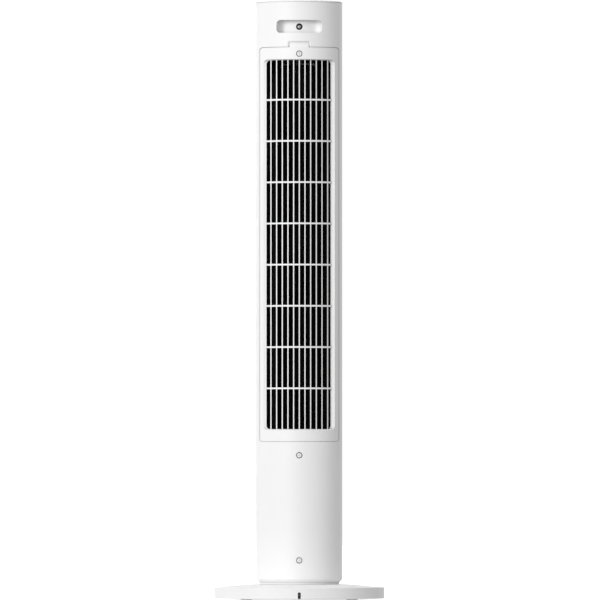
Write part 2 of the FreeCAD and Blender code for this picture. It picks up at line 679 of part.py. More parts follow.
def rear_housing():
    shell = housing_tube().common(box(-90, 90, SEAM_HALF_GAP, 90, 0, 1200))
    shell = shell.cut(rounded_block_y(
        PANEL_HALF_WIDTH + PANEL_GAP, PANEL_BOTTOM_Z - PANEL_GAP, PANEL_TOP_Z + PANEL_TOP_GAP,
        PANEL_CORNER + PANEL_GAP, 18, 95
    ))
    shell = shell.cut(tab_notch())
    landing = ring(INNER_RADIUS, LANDING_INNER_RADIUS, PANEL_BOTTOM_Z - 7, NOTCH_TOP_Z + 4)
    landing = landing.common(box(-90, 90, 10, 90, 0, 1200))
    landing = landing.cut(box(-65.7, 65.7, 5, 95, INTAKE_BOTTOM_Z - 8.3, INTAKE_TOP_Z + 8.2))
    landing = landing.cut(rod_y(8.0, 60, 90, 0, PANEL_SCREW_Z))
    pieces = [landing]
    for z in REAR_SCREW_Z:
        pieces.append(rod_y(7.5, 61.2, INNER_RADIUS + 0.5, 0, z))
    cup = grip_void(GRIP_WALL).common(cylinder(COLUMN_RADIUS - 0.5, 1000, 1090))
    boss = rod_y(8.2, GRIP_SCREW_SEAT_Y - 1.5, GRIP_FLOOR_RADIUS, 0, GRIP_SCREW_Z)
    shell = joined(shell, cup, boss, *pieces)
    shell = shell.cut(grip_void(0.0))
    shell = shell.cut(rod_y(GRIP_COUNTERBORE_RADIUS, GRIP_SCREW_SEAT_Y, 70, 0, GRIP_SCREW_Z))
    shell = shell.cut(rod_y(SCREW_HOLE_RADIUS, 40, 70, 0, GRIP_SCREW_Z))
    for z in REAR_SCREW_Z:
        shell = shell.cut(rod_y(COUNTERBORE_RADIUS, REAR_SCREW_SEAT_Y, 90, 0, z))
        shell = shell.cut(rod_y(SCREW_HOLE_RADIUS, 55, 90, 0, z))
    hook_slot = ring(INNER_RADIUS, 70, PANEL_BOTTOM_Z - 6, PANEL_BOTTOM_Z + 20)
    for x in (-HOOK_X, HOOK_X):
        shell = shell.cut(hook_slot.common(box(x - 6.5, x + 6.5, 40, 90, 200, 400)))
    for x in GRIP_STRIPS_X:
        strip = box(x, x + GRIP_STRIP_WIDTH, 70, 90, GRIP_SCREW_Z, TOTAL_HEIGHT)
        shell = divided(shell, strip)
    return shell


def intake_opening():
    """The opening for the bars, straight through the panel."""
    half_width = (INTAKE_RIGHT_X - INTAKE_LEFT_X) / 2
    opening = rounded_block_y(half_width, INTAKE_BOTTOM_Z, INTAKE_TOP_Z, INTAKE_CORNER, 20, 95)
    return moved(opening, x=INTAKE_LEFT_X + half_width)


def intake_recess():
    """The recess round the opening: flat ledges at the sides, bevels above and below."""
    far = COLUMN_RADIUS + 1
    rise = BEVEL_HEIGHT * (far - BEVEL_RADIUS) / (COLUMN_RADIUS - BEVEL_RADIUS)
    low, high, near = INTAKE_BOTTOM_Z, INTAKE_TOP_Z, INTAKE_WALL_INNER_RADIUS
    low_edge = [(near, low), (BEVEL_RADIUS, low), (far, low - rise)]
    high_edge = [(near, high), (BEVEL_RADIUS, high), (far, high + rise)]
    block = rounded_block_y(
        LEDGE_HALF_WIDTH, low - BEVEL_HEIGHT, high + BEVEL_HEIGHT, INTAKE_CORNER + 1, LEDGE_Y, 95
    )
    return ring_sector(low_edge, high_edge, 80).common(block)


def intake_wall():
    """A block of wall that the opening and its recess are then cut from."""
    margin = BEVEL_HEIGHT + 1.5
    low, high = INTAKE_BOTTOM_Z - margin, INTAKE_TOP_Z + margin
    wall = ring(INTAKE_WALL_OUTER_RADIUS, INTAKE_WALL_INNER_RADIUS, low, high)
    return wall.common(box(INTAKE_LEFT_X - 3, INTAKE_RIGHT_X + 2.4, 20, 95, low, high))


def intake_ledges():
    """The strips of wall under the two side ledges."""
    margin = BEVEL_HEIGHT + 1.5
    low, high = INTAKE_BOTTOM_Z - margin, INTAKE_TOP_Z + margin
    space = cylinder(INTAKE_WALL_OUTER_RADIUS, low, high)
    left = box(-LEDGE_HALF_WIDTH + 0.4, INTAKE_LEFT_X, LEDGE_Y - LEDGE_THICKNESS, LEDGE_Y + 1, low, high)
    right = box(INTAKE_RIGHT_X, LEDGE_HALF_WIDTH - 0.4, LEDGE_Y - LEDGE_THICKNESS, LEDGE_Y + 1, low, high)
    return [space.common(left), space.common(right)]


def intake_lattice():
    """Upright bars and level ribs, curved with the column and set back from its face."""
    low, high = INTAKE_BOTTOM_Z - 2, INTAKE_TOP_Z + 2
    space = ring(BAR_OUTER_RADIUS, BAR_INNER_RADIUS, low, high)
    space = space.common(box(INTAKE_LEFT_X - 2, INTAKE_RIGHT_X + 2, 20, 95, low, high))
    bars = []
    for i in range(BAR_COUNT):
        x = (i - (BAR_COUNT - 1) / 2) * BAR_PITCH
        bars.append(box(x - BAR_WIDTH / 2, x + BAR_WIDTH / 2, 20, 90, 300, 1000))
    for i in range(RIB_COUNT):
        z = RIB_MIDDLE_Z + (i - (RIB_COUNT - 1) / 2) * RIB_PITCH
        bars.append(box(-80, 80, 20, 90, z - RIB_HEIGHT / 2, z + RIB_HEIGHT / 2))
    return bars[0].multiFuse(bars[1:]).common(space)


def rear_grille():
    """The removable intake panel: a curved shell with the set-back lattice, two hooks and a finger tab."""
    outline = rounded_block_y(PANEL_HALF_WIDTH, PANEL_BOTTOM_Z, PANEL_TOP_Z, PANEL_CORNER, 18, 95)
    shell = ring(COLUMN_RADIUS, PANEL_INNER_RADIUS, 200, 1100).common(outline)
    tab = revolved([
        (PANEL_INNER_RADIUS, PANEL_TOP_Z - 2),
        (COLUMN_RADIUS, PANEL_TOP_Z - 2),
        (COLUMN_RADIUS, PANEL_TOP_Z + 0.6),
        (COLUMN_RADIUS - 1.8, TAB_TOP_Z),
        (PANEL_INNER_RADIUS, TAB_TOP_Z),
    ], 60, 60).common(box(-TAB_HALF_WIDTH, TAB_HALF_WIDTH, 0, 100, 0, 1200))
    boss = rod_y(7.5, 70.6, 77.5, 0, PANEL_SCREW_Z)
    hook = revolved([
        (PANEL_INNER_RADIUS + 0.5, PANEL_BOTTOM_Z + 2),
        (PANEL_INNER_RADIUS + 0.5, PANEL_BOTTOM_Z + 4.5),
        (71.8, PANEL_BOTTOM_Z + 4.5),
        (71.8, PANEL_BOTTOM_Z - 4),
        (73.8, PANEL_BOTTOM_Z - 4),
        (73.8, PANEL_BOTTOM_Z + 2),
    ])
    hooks = [hook.common(box(x - 5, x + 5, 40, 90, 200, 400)) for x in (-HOOK_X, HOOK_X)]
    frame = joined(shell, tab, intake_wall(), boss, *intake_ledges(), *hooks)
    frame = frame.cut(intake_opening()).cut(intake_recess())
    frame = frame.cut(rod_y(COUNTERBORE_RADIUS, REAR_SCREW_SEAT_Y, 90, 0, PANEL_SCREW_Z))
    frame = frame.cut(rod_y(SCREW_HOLE_RADIUS, 60, 90, 0, PANEL_SCREW_Z))
    return joined(frame, intake_lattice())


def rear_screws():
    screw = pan_screw(WHITE_HEAD_RADIUS, WHITE_HEAD_HEIGHT, 1.5, 19.0)
    return [screw_from_rear(screw, 0, REAR_SCREW_SEAT_Y, z) for z in REAR_SCREW_Z]


def grille_screw():
    screw = pan_screw(WHITE_HEAD_RADIUS, WHITE_HEAD_HEIGHT, 1.5, 14.0)
    return screw_from_rear(screw, 0, REAR_SCREW_SEAT_Y, PANEL_SCREW_Z)


def grip_screw():
    seat = GRIP_SCREW_SEAT_Y + GRIP_CUP_WALL
    return screw_from_rear(pan_screw(3.5, 2.6, 1.7, 14.0), 0, seat, GRIP_SCREW_Z)


def grip_cup():
    """A dark cup that lines the deep screw hole in the grip, clamped under the screw's head."""
    radius = GRIP_COUNTERBORE_RADIUS - 0.05
    cup = rod_y(radius, GRIP_SCREW_SEAT_Y, GRIP_FLOOR_RADIUS - 0.3, 0, GRIP_SCREW_Z)
    cup = cup.cut(rod_y(radius - GRIP_CUP_WALL, GRIP_SCREW_SEAT_Y + GRIP_CUP_WALL, 70, 0, GRIP_SCREW_Z))
    return cup.cut(rod_y(SCREW_HOLE_RADIUS, 40, 70, 0, GRIP_SCREW_Z))


# Duct, impeller and fan motor ------------------------------------------------------------------------

HARNESS_X = 60.0
HARNESS_Y = -22.0
GROMMET_CIRCLE_RADIUS = 43.0
BEARING_SCREWS = [(-11.7, AXIS_Y), (11.7, AXIS_Y)]


def duct_bottom_plate():
    plate = cylinder(INTERNAL_RADIUS, DUCT_BOTTOM_Z, DUCT_BOTTOM_Z + DUCT_PLATE)
    post = box(-7, 7, 50, 61, REAR_SCREW_Z[1] - 9, DUCT_BOTTOM_Z + 1)
    plate = joined(plate, post)
    plate = plate.cut(cylinder(11, 280, 310, 0, AXIS_Y))
    plate = plate.cut(rod_y(1.52, 45, 62, 0, REAR_SCREW_Z[1]))
    plate = plate.cut(cylinder(5.0, 290, 310, HARNESS_X, HARNESS_Y))
    for x, y in DUCT_BOSSES:
        plate = plate.cut(cylinder(1.7, 290, 310, x, y))
    for hole in around(cylinder(3.0, 290, 310, GROMMET_CIRCLE_RADIUS, 0), 3, 30):
        plate = plate.cut(moved(hole, y=AXIS_Y))
    return plate


def duct_top_plate():
    top = DUCT_TOP_Z + DUCT_PLATE
    plate = cylinder(INTERNAL_RADIUS, DUCT_TOP_Z, top)
    seat = cylinder(14, DUCT_TOP_Z, top + 5, 0, AXIS_Y)
    grille_post = box(-7, 7, 56, 69.7, top - 1, PANEL_SCREW_Z + 9)
    grip_post = box(-8, 8, 38, 49.2, top - 1, GRIP_SCREW_Z + 10)
    gusset = box(-2, 2, 22, 39, top - 1, top + 40)
    plate = joined(plate, seat, grille_post, grip_post, gusset)
    plate = plate.cut(cylinder(9.0, 980, 1010, 0, AXIS_Y))
    plate = plate.cut(rod_y(1.85, 50, 71, 0, PANEL_SCREW_Z))
    plate = plate.cut(rod_y(1.72, 36, 50, 0, GRIP_SCREW_Z))
    plate = plate.cut(cylinder(5.0, 980, 1000, HARNESS_X, HARNESS_Y))
    for x, y in DUCT_BOSSES:
        plate = plate.cut(cylinder(1.7, 980, 1000, x, y))
    for x, y in BEARING_SCREWS:
        plate = plate.cut(cylinder(1.2, 980, 1010, x, y))
    return plate


def arc_wall(outer_points, inner_points, low, high):
    """A curved wall between two three-point arcs."""
    a = [Vector(x, y, low) for x, y in outer_points]
    b = [Vector(x, y, low) for x, y in inner_points]
    edges = [
        Part.Arc(a[0], a[1], a[2]).toShape(),
        Part.makeLine(a[2], b[2]),
        Part.Arc(b[2], b[1], b[0]).toShape(),
        Part.makeLine(b[0], a[0]),
    ]
    return Part.Face(Part.Wire(edges)).extrude(Vector(0, 0, high - low))


def scroll_wall():
    """The long spiral side of the duct."""
    low, high = DUCT_BOTTOM_Z + DUCT_PLATE, DUCT_TOP_Z
    return arc_wall(
        [(-60.5, 34.0), (-54.5, -6.0), (-33.5, -63.5)],
        [(-58.2, 34.0), (-52.0, -6.0), (-31.0, -63.5)],
        low, high,
    )


def tongue_wall():
    """The short side of the duct, with its lip close to the impeller."""
    low, high = DUCT_BOTTOM_Z + DUCT_PLATE, DUCT_TOP_Z
    side = arc_wall(
        [(60.5, 34.0), (53.0, 12.0), (47.5, -12.0)],
        [(58.2, 34.0), (50.6, 12.0), (45.0, -12.0)],
        low, high,
    )
    throat = prism([(45.0, -12.0), (47.5, -12.0), (34.5, -63.5), (32.0, -63.5)], low, high)
    lip = cylinder(1.25, low, high, 46.25, -12.0)
    return joined(side, throat, lip)


def duct_screws():
    plate_screw = pan_screw(3.0, 2.0, 1.3, 12.0)
    cap_screw = pan_screw(2.4, 1.6, 1.1, 7.0)
    placed = []
    for x, y in DUCT_BOSSES:
        placed.append(screw_from_above(plate_screw, x, y, DUCT_BOTTOM_Z + DUCT_PLATE))
        placed.append(screw_from_below(plate_screw, x, y, DUCT_TOP_Z))
    for x, y in BEARING_SCREWS:
        placed.append(screw_from_above(cap_screw, x, y, DUCT_TOP_Z + DUCT_PLATE + 7))
    return placed


def blade():
    """One forward-curved blade, drawn in plan about the impeller's axis."""
    def arc_points(offset):
        inner = BLADE_INNER_RADIUS
        outer = IMPELLER_RADIUS - 0.6
        middle = (inner + outer) / 2
        return [
            Vector(*polar(inner, offset), 0),
            Vector(*polar(middle, offset + 5.4), 0),
            Vector(*polar(outer, offset + 16.0), 0),
        ]
    width = math.degrees(BLADE_THICKNESS / IMPELLER_RADIUS)
    a, b = arc_points(0.0), arc_points(width * 1.15)
    edges = [
        Part.Arc(a[0], a[1], a[2]).toShape(),
        Part.makeLine(a[2], b[2]),
        Part.Arc(b[2], b[1], b[0]).toShape(),
        Part.makeLine(b[0], a[0]),
    ]
    return Part.Face(Part.Wire(edges)).extrude(Vector(0, 0, SEGMENT_HEIGHT - DISC_THICKNESS + 0.5))


def impeller_segments():
    disc = ring(IMPELLER_RADIUS, 14.05, 0, DISC_THICKNESS)
    blades = [moved(b, z=DISC_THICKNESS - 0.5) for b in around(blade(), BLADE_COUNT)]
    segment = joined(disc, *blades)
    placed = []
    for i in range(SEGMENT_COUNT):
        piece = turned(segment, i * SEGMENT_TWIST)
        placed.append(moved(piece, y=AXIS_Y, z=IMPELLER_BOTTOM_Z + i * SEGMENT_HEIGHT))
    return placed


def impeller_end_disc():
    low = IMPELLER_TOP_Z
    disc = cylinder(IMPELLER_RADIUS, low, low + DISC_THICKNESS, 0, AXIS_Y)
    boss = cylinder(9, low - 10, low, 0, AXIS_Y)
    return joined(disc, boss).cut(cylinder(3.02, low - 20, low + 10, 0, AXIS_Y))


def top_shaft():
    return cylinder(3.0, IMPELLER_TOP_Z - 9.5, DUCT_TOP_Z + DUCT_PLATE + 4.5, 0, AXIS_Y)


def drive_hub():
    low = IMPELLER_BOTTOM_Z
    hub = cylinder(14.0, low, low + 16, 0, AXIS_Y)
    collar = cylinder(19.0, low - 1.5, low, 0, AXIS_Y)
    hub = joined(hub, collar).cut(cylinder(MOTOR_SHAFT_RADIUS + 0.02, low - 5, low + 15, 0, AXIS_Y))
    return hub


def motor_shaft():
    return cylinder(MOTOR_SHAFT_RADIUS, MOTOR_BOTTOM_Z + 3, IMPELLER_BOTTOM_Z + 14.5, 0, AXIS_Y)


def motor_rotor():
    return ring(19.9, MOTOR_SHAFT_RADIUS + 0.02, 256, 278, 0, AXIS_Y)


def motor_stator():
    core = ring(34.8, 31.0, 256, 278)
    tooth = box(20.9, 32, -3, 3, 256, 278)
    tip = ring(23.0, 20.9, 256, 278).common(box(10, 40, -6.4, 6.4, 250, 290))
    stator = joined(core, *around(joined(tooth, tip), 9))
    stator = stator.cut(cylinder(20.7, 250, 290))
    return moved(stator, y=AXIS_Y)


def motor_coils():
    coil = box(23.6, 30.4, -4.6, 4.6, 253, 281).cut(box(20, 34, -3.1, 3.1, 255.9, 278.1))
    return [moved(c, y=AXIS_Y) for c in around(coil, 9)]


def motor_bearings():
    low = ring(8.0, MOTOR_SHAFT_RADIUS + 0.05, MOTOR_BOTTOM_Z + 4, MOTOR_BOTTOM_Z + 8, 0, AXIS_Y)
    high = ring(8.0, MOTOR_SHAFT_RADIUS + 0.05, MOTOR_TOP_Z - 4, MOTOR_TOP_Z, 0, AXIS_Y)
    return [low, high]


def motor_case_lower():
    cup = cylinder(MOTOR_RADIUS, MOTOR_BOTTOM_Z, MOTOR_TOP_Z - 4).cut(
        cylinder(MOTOR_RADIUS - 2, MOTOR_BOTTOM_Z + 2, MOTOR_TOP_Z))
    seat = cylinder(11, MOTOR_BOTTOM_Z, MOTOR_BOTTOM_Z + 8)
    cup = joined(cup, seat)
    cup = cup.cut(cylinder(8.03, MOTOR_BOTTOM_Z + 4, MOTOR_TOP_Z))
    cup = cup.cut(cylinder(5.0, MOTOR_BOTTOM_Z + 2, MOTOR_TOP_Z))
    return moved(cup, y=AXIS_Y)


def motor_case_upper():
    lid = cylinder(MOTOR_RADIUS, MOTOR_TOP_Z - 4, MOTOR_TOP_Z)
    ear = joined(cylinder(6, MOTOR_TOP_Z - 3, MOTOR_TOP_Z, GROMMET_CIRCLE_RADIUS, 0),
                 box(30, GROMMET_CIRCLE_RADIUS, -6, 6, MOTOR_TOP_Z - 3, MOTOR_TOP_Z))
    lid = joined(lid, *around(ear, 3, 30))
    lid = lid.cut(cylinder(8.03, MOTOR_TOP_Z - 5, MOTOR_TOP_Z + 1))
    for hole in around(cylinder(1.8, 200, 300, GROMMET_CIRCLE_RADIUS, 0), 3, 30):
        lid = lid.cut(hole)
    return moved(lid, y=AXIS_Y)


def motor_grommets():
    spool = ring(5.5, 1.8, MOTOR_TOP_Z, DUCT_BOTTOM_Z, GROMMET_CIRCLE_RADIUS, 0)
    plug = ring(2.95, 1.8, DUCT_BOTTOM_Z, DUCT_BOTTOM_Z + DUCT_PLATE, GROMMET_CIRCLE_RADIUS, 0)
    return [moved(g, y=AXIS_Y) for g in around(joined(spool, plug), 3, 30)]


def motor_screws():
    screw = screw_from_below(pan_screw(3.0, 2.0, 1.6, 14.0), GROMMET_CIRCLE_RADIUS, 0, MOTOR_TOP_Z - 3)
    return [moved(s, y=AXIS_Y) for s in around(screw, 3, 30)]


def bearing_bush():
    low = DUCT_TOP_Z - 1
    return ring(5.5, 3.03, low, low + 8, 0, AXIS_Y)


def bearing_rubber():
    low = DUCT_TOP_Z - 1
    return ring(8.9, 5.52, low, low + 8, 0, AXIS_Y)


def bearing_cap():
    low = DUCT_TOP_Z + DUCT_PLATE + 5
    plate = box(-15.5, 15.5, AXIS_Y - 8, AXIS_Y + 8, low, low + 2)
    plate = plate.makeFillet(5, edges_along(plate, Vector(0, 0, 1)))
    plate = plate.cut(cylinder(4.0, low - 1, low + 5, 0, AXIS_Y))
    for x, y in BEARING_SCREWS:
        plate = plate.cut(cylinder(1.4, low - 1, low + 5, x, y))
    return plate


# Electronics -----------------------------------------------------------------------------------------

def main_board():
    """The control and power board, with its larger components standing on it."""
    face_y = -52.0
    board = box(-42, 42, face_y - 1.6, face_y, 95, 225)
    for x, z in BOARD_POSTS:
        board = board.cut(rod_y(1.5, -60, -50, x, z))
    capacitors = [rod_y(6.0, face_y, face_y + 20, -22, 120), rod_y(6.0, face_y, face_y + 20, -22, 136)]
    transformer = box(-4, 20, face_y, face_y + 18, 112, 138)
    heat_sink = box(26, 30, face_y, face_y + 22, 130, 165)
    chips = [box(-18, -4, face_y, face_y + 1.8, 168, 182), box(6, 14, face_y, face_y + 1.6, 176, 184)]
    sockets = [box(24, 36, face_y, face_y + 8, 190, 198), box(-34, -26, face_y, face_y + 8, 186, 206)]
    fuse = box(-38, -30, face_y, face_y + 9, 108, 114)
    return [board] + capacitors + [transformer, heat_sink] + chips + sockets + [fuse]


def display_board():
    board = cylinder(BOARD_RADIUS, BOARD_BOTTOM_Z, BOARD_TOP_Z)
    for hole in around(cylinder(1.5, 1080, 1090, 49.5, 0), 4, 45):
        board = board.cut(hole)
    digits = box(
        -WINDOW_HALF_WIDTH + 1.5, WINDOW_HALF_WIDTH - 1.5, WINDOW_LOW_Y + 1.5, WINDOW_HIGH_Y - 1.5,
        BOARD_TOP_Z, CONTROL_TOP_Z - 2.4,
    )
    solids = [board, digits]
    for angle in BUTTON_ANGLES.values():
        x, y = polar(BUTTON_CIRCLE_RADIUS, angle)
        switch = box(x - 3, x + 3, y - 3, y + 3, BOARD_TOP_Z, BOARD_TOP_Z + 1.6)
        plunger = cylinder(1.7, BOARD_TOP_Z + 1.6, BOARD_TOP_Z + 2.2, x, y)
        solids.append(joined(switch, plunger))
    solids.append(box(-8, 8, 30, 36, BOARD_BOTTOM_Z - 6, BOARD_BOTTOM_Z))
    return solids


def board_screws():
    screw = pan_screw(2.8, 2.0, 1.15, 10.0)
    placed = [screw_from_rear(screw, x, -52.0, z) for x, z in BOARD_POSTS]
    upward = screw_from_below(pan_screw(2.8, 2.0, 1.15, 8.0), 49.5, 0, BOARD_BOTTOM_Z)
    return placed + around(upward, 4, 45)


def bent_tube(points, radius):
    """A round tube along straight runs joined by tangent arcs."""
    corners = [Vector(*p) for p in points]
    edges, start = [], corners[0]
    for before, corner, after in zip(corners, corners[1:], corners[2:]):
        incoming = (corner - before).normalize()
        outgoing = (after - corner).normalize()
        turn = incoming.getAngle(outgoing)
        reach = 0.45 * min((corner - before).Length, (after - corner).Length)
        reach = min(reach, 14.0 * math.tan(turn / 2))
        entry = corner - incoming * reach
        leave = corner + outgoing * reach
        bisector = (outgoing - incoming).normalize()
        arc_radius = reach / math.tan(turn / 2)
        middle = corner + bisector * (arc_radius / math.cos(turn / 2) - arc_radius)
        edges.append(Part.LineSegment(start, entry).toShape())
        edges.append(Part.Arc(entry, middle, leave).toShape())
        start = leave
    edges.append(Part.LineSegment(start, corners[-1]).toShape())
    path = Part.Wire(edges)
    direction = (corners[1] - corners[0]).normalize()
    section = Part.Wire([Part.makeCircle(radius, corners[0], direction)])
    return path.makePipeShell([section], True, False)


def wiring_harness():
    """The sleeved wires from the main board to the display board, clipped beside the duct."""
    return bent_tube([
        (30.0, -44.0, 194.0), (30.0, -32.0, 194.0), (HARNESS_X, HARNESS_Y, 236.0),
        (HARNESS_X, HARNESS_Y, 1040.0), (34.0, 16.0, 1060.0), (0.0, 33.0, 1063.0),
        (0.0, 33.0, BOARD_BOTTOM_Z - 6),
    ], 2.2)


# Top -------------------------------------------------------------------------------------------------

def top_cap():
    """The lid: a low crown with a seat for the control panel and a spigot inside the housing."""
    spigot_outer = INNER_RADIUS - 0.3
    cap = revolved([
        (CONTROL_OPENING_RADIUS, PANEL_SEAT_Z - 2),
        (PANEL_SEAT_RADIUS + 2, PANEL_SEAT_Z - 2),
        (spigot_outer - 2.2, CAP_RIM_BOTTOM_Z - 1),
        (spigot_outer - 2.2, HOUSING_TOP_Z - 9),
        (spigot_outer, HOUSING_TOP_Z - 9),
        (spigot_outer, HOUSING_TOP_Z),
        (COLUMN_RADIUS - 1.4, HOUSING_TOP_Z),
        (COLUMN_RADIUS - 1.4, CAP_RIM_BOTTOM_Z),
        (COLUMN_RADIUS, CAP_RIM_BOTTOM_Z),
        (COLUMN_RADIUS, CAP_RIM_TOP_Z),
        (CROWN_RADIUS, CROWN_Z),
        (PANEL_SEAT_RADIUS, PANEL_RIM_Z),
        (PANEL_SEAT_RADIUS, PANEL_SEAT_Z),
        (CONTROL_OPENING_RADIUS, PANEL_SEAT_Z),
    ])
    rim = []
    for edge in cap.Edges:
        circle = isinstance(edge.Curve, Part.Circle) and abs(edge.Curve.Radius - COLUMN_RADIUS) < 0.01
        if circle and edge.Curve.Center.z > CAP_RIM_TOP_Z - 0.1:
            rim.append(edge)
    cap = cap.makeFillet(1.0, rim)
    posts = around(cylinder(3.4, BOARD_TOP_Z, PANEL_SEAT_Z - 1, 49.5, 0), 4, 45)
    cap = joined(cap, *posts)
    for pilot in around(cylinder(1.2, BOARD_TOP_Z - 1, BOARD_TOP_Z + 7, 49.5, 0), 4, 45):
        cap = cap.cut(pilot)
    return cap


def button_place(name):
    radius = POWER_BUTTON_RADIUS if name == "power_button" else BUTTON_RADIUS
    x, y = polar(BUTTON_CIRCLE_RADIUS, BUTTON_ANGLES[name])
    return x, y, radius


def window_block(clearance, low, high):
    block = box(
        -WINDOW_HALF_WIDTH - clearance, WINDOW_HALF_WIDTH + clearance,
        WINDOW_LOW_Y - clearance, WINDOW_HIGH_Y + clearance, low, high,
    )
    return block.makeFillet(3 + clearance, edges_along(block, Vector(0, 0, 1)))


def control_panel():
    panel = cylinder(PANEL_SEAT_RADIUS - 0.2, PANEL_SEAT_Z, CONTROL_TOP_Z)
    panel = panel.cut(window_block(0.1, CONTROL_TOP_Z - 1.2, CONTROL_TOP_Z + 1))
    panel = panel.cut(window_block(-1.2, PANEL_SEAT_Z - 1, CONTROL_TOP_Z + 1))
    for name in BUTTON_ANGLES:
        x, y, radius = button_place(name)
        panel = panel.cut(cylinder(radius + 0.3, PANEL_SEAT_Z - 1, CONTROL_TOP_Z + 1, x, y))
    return panel


def display_window():
    return window_block(0.0, CONTROL_TOP_Z - 1.2, CONTROL_TOP_Z)


def button(name):
    """A key cap with a stop flange under the panel and a stem over its switch."""
    x, y, radius = button_place(name)
    cap = cylinder(radius, PANEL_SEAT_Z - 1.2, BUTTON_TOP_Z, x, y)
    rim = []
    for edge in cap.Edges:
        if isinstance(edge.Curve, Part.Circle) and edge.Curve.Center.z > BUTTON_TOP_Z - 0.1:
            rim.append(edge)
    cap = cap.makeFillet(0.6, rim)
    flange = cylinder(radius + 1.2, PANEL_SEAT_Z - 1.2, PANEL_SEAT_Z - 0.2, x, y)
    stem = cylinder(2.0, BOARD_TOP_Z + 3.2, PANEL_SEAT_Z - 1.2, x, y)
    return joined(cap, flange, stem)


# Output ----------------------------------------------------------------------------------------------

SUB_PARTS = [
    base_cover, base_plate, ballast_plate, rubber_feet, base_screws, base_inner_screws, cord_gland,
    base_hub, slide_ring, thrust_washer, hub_gear, gear_retainer,
    turntable, turntable_screws, oscillation_bracket, oscillation_motor, oscillation_screws,
    oscillation_pinion, oscillation_shaft,
    front_housing, rear_housing, front_grille, rear_grille, rear_screws, grille_screw, grip_screw,
    grip_cup,
    duct_bottom_plate, duct_top_plate, scroll_wall, tongue_wall, duct_screws,
    impeller_segments, impeller_end_disc, top_shaft, drive_hub,
    motor_shaft, motor_rotor, motor_stator, motor_coils, motor_bearings,
    motor_case_lower, motor_case_upper, motor_grommets, motor_screws,
    bearing_bush, bearing_rubber, bearing_cap,
    main_board, display_board, board_screws, wiring_harness,
    top_cap, control_panel, display_window,
]


def save(name, made):
    solids = []
    for shape in made if isinstance(made, list) else [made]:
        solids += shape.Solids
    bad = [s for s in solids if not s.isValid() or s.Volume <= 0]
    print(f"{name}: {len(solids)} solid(s), {sum(s.Volume for s in solids):.0f} mm3", "BAD" if bad else "")
    shape = solids[0] if len(solids) == 1 else Part.makeCompound(solids)
    shape.exportStep(os.path.join(PARTS_FOLDER, name + ".step"))


def main():
    os.makedirs(PARTS_FOLDER, exist_ok=True)
    for make in SUB_PARTS:
        save(make.__name__, make())
    for name in BUTTON_ANGLES:
        save(name, button(name))


main()
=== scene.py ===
import json
import math

import bmesh
import bpy
import numpy as np
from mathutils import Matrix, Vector


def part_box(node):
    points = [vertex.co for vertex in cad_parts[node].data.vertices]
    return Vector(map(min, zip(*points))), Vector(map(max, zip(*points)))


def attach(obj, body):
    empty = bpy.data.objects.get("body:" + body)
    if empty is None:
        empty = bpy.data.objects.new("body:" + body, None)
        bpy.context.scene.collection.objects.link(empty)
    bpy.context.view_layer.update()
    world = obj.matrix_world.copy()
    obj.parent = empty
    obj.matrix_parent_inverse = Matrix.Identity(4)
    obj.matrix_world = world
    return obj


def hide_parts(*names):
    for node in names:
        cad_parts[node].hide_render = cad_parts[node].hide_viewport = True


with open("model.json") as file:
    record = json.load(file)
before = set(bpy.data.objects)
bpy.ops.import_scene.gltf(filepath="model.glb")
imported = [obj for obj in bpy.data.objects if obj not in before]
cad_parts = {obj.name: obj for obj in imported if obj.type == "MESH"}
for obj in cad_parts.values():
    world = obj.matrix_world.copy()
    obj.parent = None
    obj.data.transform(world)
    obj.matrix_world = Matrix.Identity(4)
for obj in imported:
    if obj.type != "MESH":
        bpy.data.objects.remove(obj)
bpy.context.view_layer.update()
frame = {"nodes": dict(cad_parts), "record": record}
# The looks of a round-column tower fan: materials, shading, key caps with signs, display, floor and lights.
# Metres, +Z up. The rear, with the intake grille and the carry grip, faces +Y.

MM = 0.001
NODES = frame["nodes"]
SLOTS = {entry["node"]: entry["material_slot"] for entry in frame["record"]["subparts"]}


# Materials -------------------------------------------------------------------------------------------

# The mix node has sockets of the same names for each kind of data. These are the ones that mix colours.
MIX_FACTOR = 0
MIX_COLOUR_A = 6
MIX_COLOUR_B = 7
MIX_COLOUR_RESULT = 2
# Reach and samples of the painted shade that darkens the colour in seams and recesses.
PAINTED_SHADE_REACH = 6.0 * MM
PAINTED_SHADE_SAMPLES = 16
TONE_SCALE = 9.0
GLOSS_SCALE = 60.0
GLOSS_SPREAD = 0.04
GRAIN_DEPTH = 0.04 * MM
TURNING_SCALE = 420.0
TURNING_DEPTH = 0.05 * MM
TURNING_SMOOTHER = 0.08
TURNING_ROUGHER = 0.1


